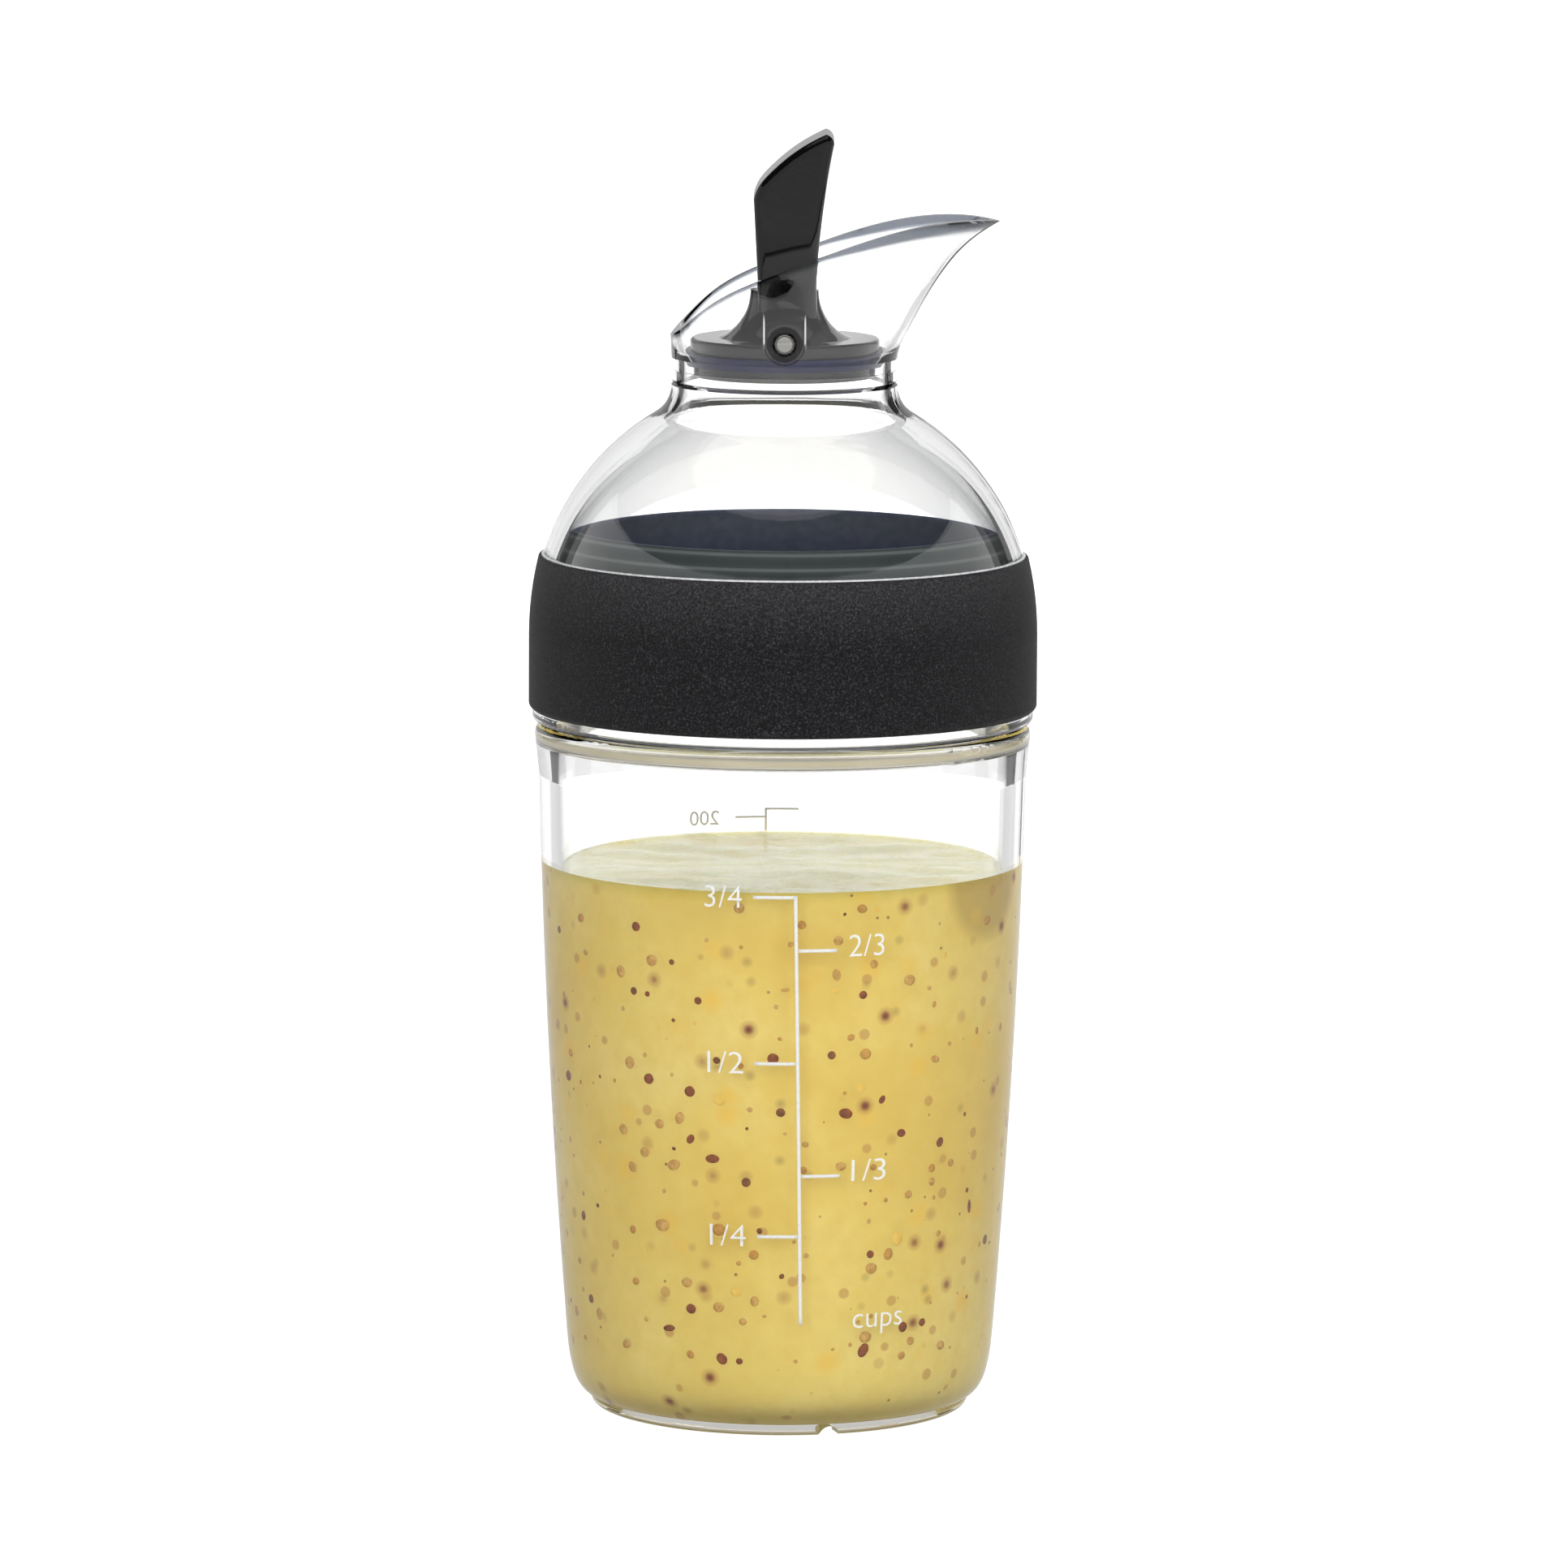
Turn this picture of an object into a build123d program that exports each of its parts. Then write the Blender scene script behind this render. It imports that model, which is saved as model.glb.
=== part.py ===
"""A salad dressing shaker bottle: a clear cup, a clear domed lid with a grip band, and a spout with a lever.

Millimetres. The origin is the centre of the face that the cup stands on, +Z is up, and the spout pours
toward +X.
"""

import math
import os

from build123d import *

os.makedirs("parts", exist_ok=True)

# Fits
slip_gap = 0.25          # between pieces that move past each other
bond_gap = 0.04          # between pieces that are joined for good
pin_play = 0.08          # round the pin in the lever
overrun = 1.0            # how far a cut runs past what it cuts

# Cup
body_radius = 33.0       # outside of the cup's wall at the shoulder, which the lid follows
cup_height = 112.4       # foot to rim
wall_taper = 4.0         # how far the wall draws in down to the heel
wall_bulge = 0.57        # how far the tapered wall bows outward at mid height
heel_height = 9.5        # top of the round heel above the foot
heel_inset = 3.3         # the foot is this far inside the heel
foot_height = 1.7
foot_edge_radius = 1.2
foot_ring_width = 4.2
foot_recess_depth = 1.2
foot_groove = 0.4        # the body starts this far outside the foot
shoulder_flare = 0.7     # the shoulder's lip stands this far outside the wall
shoulder_lip_height = 6.8
shoulder_edge_radius = 1.2
shoulder_thickness = 1.5
shoulder_inner_radius = 1.0
cup_heel_wall = 2.4
cup_wall = 2.8
floor_top = 3.4
floor_corner_radius = 5.0
neck_height = 19.1
neck_step = 3.4          # the neck is this far inside the wall
neck_wall = 2.0
rim_edge_radius = 0.5

# Notches through the foot
notch_count = 3
notch_angle = -74.5
notch_width = 2.9
notch_height = 1.3

# Thread
thread_lead = 4.0
thread_turns = 1.25
thread_depth = 0.85
thread_root_share = 0.5  # width of the ridge at its root and its crest, as shares of the lead
thread_crest_share = 0.25
thread_start = 6.2       # middle of the cup's ridge above the shoulder where the ridge begins
thread_flank_gap = 0.3
thread_root_sink = 0.3
thread_start_angle = 37.0    # where both ridges begin, round from +X

# Dressing in the cup
fill_drop = 12.0         # its surface below the top of the cup's wall

# Lid gasket and inner ring
gasket_thickness = 1.3
gasket_overhang = 0.6
gasket_edge_radius = 0.3
ring_height = 6.0
ring_wall = 1.2
ring_edge_radius = 0.4

# Dome
collar_wall = 2.2
collar_gap = 0.5         # between the cup's shoulder and the collar
collar_lip_height = 1.7
collar_lip_overhang = 0.2    # the collar's lip beyond the shoulder's lip
collar_lip_edge_radius = 0.8
dome_swell = 1.05        # sphere radius beyond the collar's
dome_wall = 2.25
dome_upright_rise = 0.6  # upright part of its lining above the gasket
dome_blend_radius = 4.4
throat_blend_radius = 7.2
neck_straight = 0.4      # upright part of the neck below its seam with the spout
tongue_height = 1.7
tongue_wall = 0.85
seam_chamfer = 0.3

# Grip band
band_thickness = 1.5
band_lap = 1.5           # how far the band covers the dome above the collar
band_top_wall = 0.55
band_crown_height = 10.8
band_foot_radius = 0.7
band_top_radius = 0.4

# Spout
spout_radius = 15.3
skirt_wall = 1.7
spout_wall = 1.35
spout_skirt_height = 3.3     # straight part above the seam
spout_flare_height = 18.6    # from the straight part to the tip
tip_overhang = 13.7      # the mouth's tip, its back and its sides, beyond the skirt
back_overhang = 0.4
mouth_pinch = 2.3
mouth_widest_x = 5.0

# Flats on the spout round the pin
flat_depth = 0.45
flat_half_width = 2.8
pin_seat_radius = 2.3
pin_seat_depth = 0.25

# Pin
pin_rise = 6.4           # pin above the seam
pin_radius = 1.6
pin_chamfer = 0.35
pin_end_inset = 0.1

# Stopper under the pin
seal_top_drop = 2.3
seal_thickness = 1.6
retainer_thickness = 1.6
retainer_gap = 1.3       # the retainer, the disc and the hub are this far inside the throat
retainer_edge_radius = 0.5
disc_gap = 0.8
disc_top_drop = 0.4
disc_edge_radius = 0.5
hub_gap = 1.0
hub_radius = 2.25

# Lever above the disc
bell_mid_rise = 2.3
stem_rise = 6.0
paddle_foot_rise = 2.5   # foot of the paddle, inside the bell
lever_rise = 27.4        # lever tip above the pin
lever_edge_radius = 1.15

# Widths of the lever as shares of its disc's radius
bell_root_share = 0.703
bell_mid_share = 0.4375
stem_share = 0.36
lever_share = 0.508
lever_waist_share = 0.336


def on_circle(radius, rise):
    """How far out a circle of this radius reaches at this height over its centre."""
    return math.sqrt(radius**2 - rise**2)


# Radii that follow from the cup's
heel_radius = body_radius - wall_taper
foot_radius = heel_radius - heel_inset
shoulder_lip_radius = body_radius + shoulder_flare
neck_radius = body_radius - neck_step
neck_bore_radius = neck_radius - neck_wall
lid_bore_radius = neck_radius + thread_depth + slip_gap
collar_radius = lid_bore_radius + collar_wall
collar_lip_radius = shoulder_lip_radius + collar_lip_overhang
band_radius = collar_radius + band_thickness
dome_radius = collar_radius + dome_swell
dome_inner_radius = dome_radius - dome_wall

# Widths that follow from the spout's
throat_radius = spout_radius - skirt_wall
tongue_radius = throat_radius + tongue_wall
spout_tip_reach = spout_radius + tip_overhang
spout_back_reach = spout_radius + back_overhang
mouth_half_width = spout_radius - mouth_pinch
flat_y = spout_radius - flat_depth
retainer_radius = throat_radius - retainer_gap
disc_radius = throat_radius - disc_gap
hub_half_length = throat_radius - hub_gap
bell_root_radius = disc_radius * bell_root_share
bell_mid_radius = disc_radius * bell_mid_share
stem_radius = disc_radius * stem_share
lever_front_reach = disc_radius * lever_share
lever_half_width = disc_radius * lever_share
lever_waist_half_width = disc_radius * lever_waist_share

# Heights that follow
shoulder_z = cup_height - neck_height
wall_top_z = shoulder_z - shoulder_lip_height
fill_z = wall_top_z - fill_drop
collar_z = shoulder_z + collar_gap
band_z = collar_z + collar_lip_height
gasket_top_z = cup_height + gasket_thickness
dome_z = gasket_top_z + dome_upright_rise - on_circle(dome_inner_radius, lid_bore_radius)
band_top_z = dome_z + on_circle(dome_radius, collar_radius) + band_lap
neck_z = dome_z + on_circle(dome_radius + dome_blend_radius, spout_radius + dome_blend_radius)
seam_z = neck_z + neck_straight
tongue_z = seam_z + tongue_height
pin_z = seam_z + pin_rise
flare_z = seam_z + spout_skirt_height
tip_z = flare_z + spout_flare_height
seal_top_z = pin_z - seal_top_drop
seal_bottom_z = seal_top_z - seal_thickness
seal_swing_radius = math.hypot(throat_radius, pin_z - flare_z) - slip_gap

# Thread that follows from its lead
thread_root_width = thread_lead * thread_root_share
thread_crest_width = thread_lead * thread_crest_share


def nearest(shapes, *place):
    """The vertex of a sketch, or the edge of a part, that lies nearest to a place."""
    return shapes.sort_by_distance(Vector(*place))[0]


def thread_ridge(root_radius, middle_z, depth):
    """One helical ridge whose sloped flanks run on into the wall; a negative depth points inward."""
    sink = math.copysign(thread_root_sink, depth)
    flank_spread = (thread_root_width - thread_crest_width) / thread_depth
    base_width = thread_root_width + flank_spread * thread_root_sink
    with BuildPart() as ridge:
        with BuildLine() as path:
            turns_height = thread_lead * thread_turns
            Helix(pitch=thread_lead, height=turns_height, radius=root_radius, center=(0, 0, middle_z))
        start = Plane(origin=path.line @ 0, x_dir=(1, 0, 0), z_dir=path.line % 0)
        with BuildSketch(start):
            with BuildLine():
                Polyline(
                    (-sink, -base_width / 2),
                    (depth, -thread_crest_width / 2),
                    (depth, thread_crest_width / 2),
                    (-sink, base_width / 2),
                    close=True,
                )
            make_face()
        sweep(path=path.line, is_frenet=True)
    return ridge.part.rotate(Axis.Z, thread_start_angle)


def wall_arc(foot, top, bulge):
    """A tapered wall from foot to top that bows outward at mid height."""
    middle = ((foot[0] + top[0]) / 2 + bulge, (foot[1] + top[1]) / 2)
    return ThreePointArc(foot, middle, top)


def cavity_face(gap, top_z):
    """Half section of the cup's inside up to top_z, drawn smaller by gap all round."""
    heel_inner = heel_radius - cup_heel_wall - gap
    top_inner = body_radius - cup_wall - gap
    floor_z = floor_top + gap
    ledge_z = shoulder_z - shoulder_thickness
    corner = floor_corner_radius
    with BuildSketch() as face:
        with BuildLine():
            wall = wall_arc((heel_inner, heel_height), (top_inner, wall_top_z), wall_bulge)
            Spline(
                (heel_inner - corner, floor_z),
                (heel_inner - corner * corner_turn_share, floor_z + corner * corner_turn_share),
                wall @ 0,
                tangents=((1, 0), wall % 0),
            )
            ledge = Line(wall @ 1, (top_inner, ledge_z))
            Polyline(ledge @ 1, (0, ledge_z), (0, floor_z), (heel_inner - corner, floor_z))
        make_face()
        fillet(nearest(face.vertices(), top_inner, ledge_z), shoulder_inner_radius)
        with BuildLine():
            Polyline((0, top_z), (shoulder_lip_radius, top_z), (shoulder_lip_radius, 0), (0, 0), close=True)
        make_face(mode=Mode.INTERSECT)
    return face.sketch


# The heel turns where its corner is this share of its radius away from both sides
corner_turn_share = 0.293

# Cup: foot, heel, tapered wall, shoulder and neck in one revolved section
heel_start = (foot_radius + foot_groove, foot_height)
notch_radius = (notch_height**2 + (notch_width / 2) ** 2) / (2 * notch_height)
heel_turn_share = (0.76, 0.43)
cup_cavity = cavity_face(0, shoulder_z)
cup_ridge = thread_ridge(neck_radius, shoulder_z + thread_start, thread_depth)
with BuildPart() as cup:
    with BuildSketch(Plane.XZ) as cup_section:
        with BuildLine():
            wall = wall_arc((heel_radius, heel_height), (body_radius, wall_top_z), wall_bulge)
            heel_turn = (
                heel_start[0] + (heel_radius - heel_start[0]) * heel_turn_share[0],
                heel_start[1] + (heel_height - heel_start[1]) * heel_turn_share[1],
            )
            Spline(heel_start, heel_turn, wall @ 0, tangents=((1, 0.5), wall % 0))
            Polyline(
                wall @ 1,
                (shoulder_lip_radius, shoulder_z),
                (neck_radius, shoulder_z),
                (neck_radius, cup_height),
                (0, cup_height),
                (0, foot_recess_depth),
                (foot_radius - foot_ring_width, foot_recess_depth),
                (foot_radius - foot_ring_width, 0),
                (foot_radius, 0),
                (foot_radius, foot_height),
                heel_start,
            )
        make_face()
        fillet(nearest(cup_section.vertices(), shoulder_lip_radius, shoulder_z), shoulder_edge_radius)
        fillet(nearest(cup_section.vertices(), foot_radius, 0), foot_edge_radius)
    revolve(axis=Axis.Z)
    with BuildSketch(Plane.XZ):
        add(cup_cavity)
    revolve(axis=Axis.Z, mode=Mode.SUBTRACT)
    with BuildSketch(Plane.XY.offset(shoulder_z - shoulder_thickness - overrun)):
        Circle(neck_bore_radius)
    extrude(amount=neck_height + shoulder_thickness + 2 * overrun, mode=Mode.SUBTRACT)
    fillet(cup.edges().filter_by(GeomType.CIRCLE).group_by(Axis.Z)[-1], rim_edge_radius)
    with PolarLocations(0, notch_count, start_angle=notch_angle):
        with Locations(Location((foot_radius, 0, notch_height - notch_radius), (0, 90, 0))):
            Cylinder(radius=notch_radius, height=2 * (foot_ring_width + overrun), mode=Mode.SUBTRACT)
    add(cup_ridge)
cup.part.label = "cup"

# Dressing, the contents: it fills the cavity up to the 3/4 cup mark
dressing_face = cavity_face(bond_gap, fill_z)
with BuildPart() as dressing:
    with BuildSketch(Plane.XZ):
        add(dressing_face)
    revolve(axis=Axis.Z)
dressing.part.label = "dressing"

# Flat washer that the lid presses on the cup's rim
with BuildPart() as lid_gasket:
    with BuildSketch(Plane.XY.offset(cup_height)):
        Circle(lid_bore_radius - slip_gap)
        Circle(neck_bore_radius - gasket_overhang, mode=Mode.SUBTRACT)
    extrude(amount=gasket_thickness)
    fillet(lid_gasket.edges().group_by(Axis.Z)[-1], gasket_edge_radius)
lid_gasket.part.label = "lid_gasket"

# Ring that lines the foot of the dome: upright at first, then along the dome's sphere
ring_outer_radius = dome_inner_radius - bond_gap
ring_inner_radius = ring_outer_radius - ring_wall
ring_straight_radius = lid_bore_radius - bond_gap
ring_start_rise = on_circle(ring_outer_radius, ring_straight_radius)
ring_top_rise = gasket_top_z + ring_height - dome_z
ring_foot_rise = gasket_top_z - dome_z


def sphere_point(radius, rise):
    """A place of a sphere's section that is centred in the dome."""
    return (on_circle(radius, rise), dome_z + rise)


def sphere_arc(radius, low_rise, high_rise):
    """The stretch of that section between two heights over its centre."""
    middle = (low_rise + high_rise) / 2
    return ThreePointArc(
        sphere_point(radius, low_rise), sphere_point(radius, middle), sphere_point(radius, high_rise)
    )


with BuildPart() as inner_ring:
    with BuildSketch(Plane.XZ) as ring_section:
        with BuildLine():
            outer = sphere_arc(ring_outer_radius, ring_start_rise, ring_top_rise)
            inner = sphere_arc(ring_inner_radius, ring_foot_rise, ring_top_rise)
            Polyline(outer @ 0, (ring_straight_radius, gasket_top_z), inner @ 0)
            Line(outer @ 1, inner @ 1)
        make_face()
        ring_top_inside = sphere_point(ring_inner_radius, ring_top_rise)
        fillet(nearest(ring_section.vertices(), *ring_top_inside), ring_edge_radius)
    revolve(axis=Axis.Z)
inner_ring.part.label = "inner_ring"


def dome_to_neck(radius, neck, blend):
    """Where a concave blend leaves the sphere, where it meets the upright neck, and its centre."""
    rise = on_circle(radius + blend, neck + blend)
    share = radius / (radius + blend)
    centre = (neck + blend, dome_z + rise)
    return rise * share, (neck, centre[1]), centre


def blend_arc(start, end, centre, blend):
    """The round stretch of that blend, seen from its centre."""
    away = ((Vector(start) + Vector(end)) / 2 - Vector(centre)).normalized() * blend
    return ThreePointArc(start, Vector(centre) + away, end)


# Dome: threaded collar, sphere and neck, with a tongue that the spout sits on
outer_rise, outer_neck, outer_centre = dome_to_neck(dome_radius, spout_radius, dome_blend_radius)
inner_rise, inner_neck, inner_centre = dome_to_neck(dome_inner_radius, throat_radius, throat_blend_radius)
ridge_offset = (thread_root_width + thread_crest_width) / 2 + thread_flank_gap
ridge_offset -= (thread_root_width - thread_crest_width) / 2 * slip_gap / thread_depth
lid_ridge = thread_ridge(lid_bore_radius, shoulder_z + thread_start - ridge_offset, -thread_depth)
with BuildPart() as dome:
    with BuildSketch(Plane.XZ) as dome_section:
        with BuildLine():
            ball = sphere_arc(dome_radius, on_circle(dome_radius, collar_radius), outer_rise)
            blend = blend_arc(ball @ 1, outer_neck, outer_centre, dome_blend_radius)
            Polyline(
                blend @ 1,
                (spout_radius, seam_z - seam_chamfer),
                (spout_radius - seam_chamfer, seam_z),
                (tongue_radius, seam_z),
                (tongue_radius, tongue_z),
                (0, tongue_z),
                (0, collar_z),
                (collar_lip_radius, collar_z),
                (collar_lip_radius, band_z),
                (collar_radius, band_z),
                ball @ 0,
            )
        make_face()
        fillet(nearest(dome_section.vertices(), collar_lip_radius, collar_z), collar_lip_edge_radius)
    revolve(axis=Axis.Z)
    with BuildSketch(Plane.XZ):
        with BuildLine():
            ball = sphere_arc(dome_inner_radius, on_circle(dome_inner_radius, lid_bore_radius), inner_rise)
            blend = blend_arc(ball @ 1, inner_neck, inner_centre, throat_blend_radius)
            Polyline(
                blend @ 1,
                (throat_radius, tongue_z + overrun),
                (0, tongue_z + overrun),
                (0, collar_z - overrun),
                (lid_bore_radius, collar_z - overrun),
                ball @ 0,
            )
        make_face()
    revolve(axis=Axis.Z, mode=Mode.SUBTRACT)
    add(lid_ridge)
dome.part.label = "dome"

# Grip band round the collar, with a crowned outside
band_inner_radius = collar_radius + bond_gap
band_crown_z = band_top_z - band_crown_height
lining_radius = dome_radius + bond_gap
lining_top_rise = band_top_z - dome_z
band_top = (on_circle(lining_radius, lining_top_rise) + band_top_wall, band_top_z)
with BuildPart() as grip_band:
    with BuildSketch(Plane.XZ) as band_section:
        with BuildLine():
            crown = TangentArc((band_radius, band_crown_z), band_top, tangent=(0, 1))
            lining = sphere_arc(lining_radius, on_circle(lining_radius, band_inner_radius), lining_top_rise)
            Line(crown @ 1, lining @ 1)
            foot_z = band_z + bond_gap
            Polyline(lining @ 0, (band_inner_radius, foot_z), (band_radius, foot_z), crown @ 0)
        make_face()
        fillet(nearest(band_section.vertices(), band_radius, band_z + bond_gap), band_foot_radius)
        fillet(nearest(band_section.vertices(), *band_top), band_top_radius)
    revolve(axis=Axis.Z)
grip_band.part.label = "grip_band"

# Spout sections from the straight skirt to above the tip. Each row is a share of the flare's height, and how
# far the section has gone there from the round skirt to the mouth: its front reach, back reach, half width
# and widest place
spout_section_shares = [
    (0.0, 0.0, 0.0, 0.0, 0.0),
    (0.167, 0.075, 0.4, 0.0, 0.0),
    (0.33, 0.19, 0.8, 0.12, 0.15),
    (0.5, 0.32, 1.0, 0.42, 0.4),
    (0.677, 0.483, 1.0, 0.8, 0.7),
    (0.85, 0.7, 1.0, 1.0, 1.0),
    (1.0, 1.0, 1.0, 1.0, 1.0),
    (1.08, 1.2, 1.0, 1.0, 1.0),
]


def spout_section(shares, wall):
    """One level section: half an ellipse at the back and two arcs that meet in a point at the front."""
    height, front, back, width, widest = shares
    middle_x = mouth_widest_x * widest
    half_width = spout_radius + (mouth_half_width - spout_radius) * width
    front_x = spout_radius + (spout_tip_reach - spout_radius) * front
    back_x = spout_radius + (spout_back_reach - spout_radius) * back
    reach = front_x - middle_x
    radius = (reach**2 + half_width**2) / (2 * half_width)
    centre_y = half_width - radius
    side_y = half_width - wall
    point_x = middle_x + math.sqrt((radius - wall) ** 2 - centre_y**2)
    turn = math.atan2(-centre_y, point_x - middle_x)
    mid_turn = (turn + math.pi / 2) / 2
    mid_x = middle_x + (radius - wall) * math.cos(mid_turn)
    mid_y = centre_y + (radius - wall) * math.sin(mid_turn)
    with BuildSketch(Plane.XY.offset(flare_z + spout_flare_height * height)) as section:
        with BuildLine():
            ThreePointArc((point_x, 0), (mid_x, mid_y), (middle_x, side_y))
            for start_angle in (90, 180):
                EllipticalCenterArc(
                    (middle_x, 0), middle_x + back_x - wall, side_y, start_angle=start_angle, arc_size=90
                )
            ThreePointArc((middle_x, -side_y), (mid_x, -mid_y), (point_x, 0))
        make_face()
    return section.sketch


def flare(first_wall, wall):
    """The spout's flared body inside a wall that is first_wall thick at the skirt."""
    walls = [first_wall] + [wall] * (len(spout_section_shares) - 1)
    sections = [spout_section(s, w) for s, w in zip(spout_section_shares, walls)]
    with BuildPart() as body:
        loft(sections=sections)
    return body.part


# The rim from the back to the tip: shares of its length from the back, and of its rise from pin to tip
rim_shares = [
    (0.0, -0.02),
    (0.058, 0.135),
    (0.143, 0.342),
    (0.291, 0.555),
    (0.436, 0.716),
    (0.56, 0.845),
    (0.705, 0.961),
    (0.852, 1.019),
    (1.0, 1.0),
]
rim_length = spout_tip_reach + spout_back_reach
rim_rise = tip_z - pin_z
flare_outside = flare(0, 0)
flare_inside = flare(skirt_wall, spout_wall)
with BuildPart() as spout:
    with BuildSketch(Plane.XY.offset(seam_z)):
        Circle(spout_radius)
    extrude(amount=spout_skirt_height)
    chamfer(spout.edges().group_by(Axis.Z)[0], seam_chamfer)
    add(flare_outside)
    with BuildSketch(Plane.XY.offset(seam_z - overrun)):
        Circle(tongue_radius + bond_gap)
    extrude(amount=tongue_height + bond_gap + overrun, mode=Mode.SUBTRACT)
    with BuildSketch(Plane.XY.offset(seam_z)):
        Circle(throat_radius)
    extrude(amount=spout_skirt_height + overrun, mode=Mode.SUBTRACT)
    add(flare_inside, mode=Mode.SUBTRACT)
    with BuildSketch(Plane.XZ):
        with BuildLine():
            rim = Spline([(rim_length * x - spout_back_reach, pin_z + rim_rise * z) for x, z in rim_shares])
            back_x = -spout_back_reach - overrun
            front_x = spout_tip_reach * (1 + spout_section_shares[-1][1])
            top_z = tip_z + spout_flare_height
            above = Polyline(rim @ 0, (back_x, (rim @ 0).Y), (back_x, top_z), (front_x, top_z))
            Polyline(above @ 1, (front_x, (rim @ 1).Y), rim @ 1)
        make_face()
    extrude(amount=spout_radius + overrun, both=True, mode=Mode.SUBTRACT)
    for side in (1, -1):
        face_plane = Plane(origin=(0, side * flat_y, pin_z), x_dir=(-side, 0, 0), z_dir=(0, side, 0))
        with BuildSketch(face_plane):
            SlotCenterPoint((0, rim_rise / 2), (0, 0), 2 * flat_half_width)
        extrude(amount=flat_depth + overrun, mode=Mode.SUBTRACT)
        with BuildSketch(face_plane.offset(-pin_seat_depth)):
            Circle(pin_seat_radius)
        extrude(amount=flat_depth + overrun, mode=Mode.SUBTRACT)
    with Locations(Location((0, 0, pin_z), (90, 0, 0))):
        Cylinder(radius=pin_radius + bond_gap, height=2 * (spout_radius + overrun), mode=Mode.SUBTRACT)
spout.part.label = "spout"

# Pin across the spout
with BuildPart() as pivot_pin:
    with Locations(Location((0, 0, pin_z), (90, 0, 0))):
        Cylinder(radius=pin_radius, height=2 * (flat_y - pin_end_inset))
    chamfer(pivot_pin.edges().filter_by(GeomType.CIRCLE), pin_chamfer)
pivot_pin.part.label = "pivot_pin"

# Stopper seal: its edge follows a sphere round the pin, so that it can swing in the throat
with BuildPart() as stopper_seal:
    with BuildSketch(Plane.XZ):
        with BuildLine():
            low_rise = seal_bottom_z - pin_z
            high_rise = seal_top_z - pin_z
            mid_rise = (low_rise + high_rise) / 2
            edge = ThreePointArc(
                (on_circle(seal_swing_radius, low_rise), seal_bottom_z),
                (on_circle(seal_swing_radius, mid_rise), pin_z + mid_rise),
                (on_circle(seal_swing_radius, high_rise), seal_top_z),
            )
            Polyline(edge @ 1, (0, seal_top_z), (0, seal_bottom_z), edge @ 0)
        make_face()
    revolve(axis=Axis.Z)
stopper_seal.part.label = "stopper_seal"

# Cap that holds the seal on the lever
with BuildPart() as seal_retainer:
    with BuildSketch(Plane.XY.offset(seal_bottom_z - retainer_thickness)):
        Circle(retainer_radius)
    extrude(amount=retainer_thickness)
    fillet(seal_retainer.edges().group_by(Axis.Z)[0], retainer_edge_radius)
seal_retainer.part.label = "seal_retainer"

# Lever: its side outline in shares of the reach to the front and of the height from the bell to the tip
paddle_z = pin_z + paddle_foot_rise
paddle_span = lever_rise - paddle_foot_rise
paddle_back_shares = [(-0.53, 0.0), (-0.652, 0.645)]
paddle_pad_shares = [(-0.652, 0.645), (-0.535, 0.725), (-0.32, 0.791), (0.235, 0.913), (0.834, 1.0)]
paddle_tip_shares = [(0.834, 1.0), (0.965, 0.978), (1.0, 0.94)]
paddle_front_shares = [(1.0, 0.94), (0.888, 0.781), (0.749, 0.508), (0.685, 0.325), (0.67, 0.0)]
paddle_hip_share = 0.5
paddle_lean_share = 0.12


def paddle_place(share):
    """A share of the paddle's outline as a place in its side view."""
    return (lever_front_reach * share[0], paddle_z + paddle_span * share[1])


# The paddle is its side outline, as wide as its front outline lets it be, with round edges
with BuildPart() as paddle:
    with BuildSketch(Plane.XZ):
        with BuildLine():
            Line([paddle_place(s) for s in paddle_back_shares])
            Spline([paddle_place(s) for s in paddle_pad_shares])
            ThreePointArc([paddle_place(s) for s in paddle_tip_shares])
            front = Spline([paddle_place(s) for s in paddle_front_shares])
            Line(front @ 1, paddle_place(paddle_back_shares[0]))
        make_face()
    extrude(amount=lever_half_width, both=True)
    with BuildSketch(Plane.YZ):
        with BuildLine():
            waist = (lever_waist_half_width, paddle_z)
            hip = (lever_half_width, paddle_z + paddle_span * paddle_hip_share)
            side = Spline(waist, hip, tangents=((paddle_lean_share, 1), (0, 1)))
            over_z = paddle_z + paddle_span + overrun
            Polyline(side @ 1, (lever_half_width, over_z), (0, over_z), (0, paddle_z), side @ 0)
        make_face()
        mirror(about=Plane.YZ)
    extrude(amount=lever_front_reach + overrun, both=True, mode=Mode.INTERSECT)
    outline_edges = paddle.edges().filter_by(lambda e: abs(e.center().Y) > lever_waist_half_width / 2)
    outline_edges = outline_edges.filter_by(lambda e: e.bounding_box().size.Y < lever_half_width)
    outline_edges = outline_edges.filter_by(lambda e: e.center().Z > paddle_z + lever_edge_radius)
    crossing_edges = outline_edges.filter_by(lambda e: e.bounding_box().size.Z < lever_edge_radius / 2)
    fillet(outline_edges - crossing_edges, lever_edge_radius)

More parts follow.
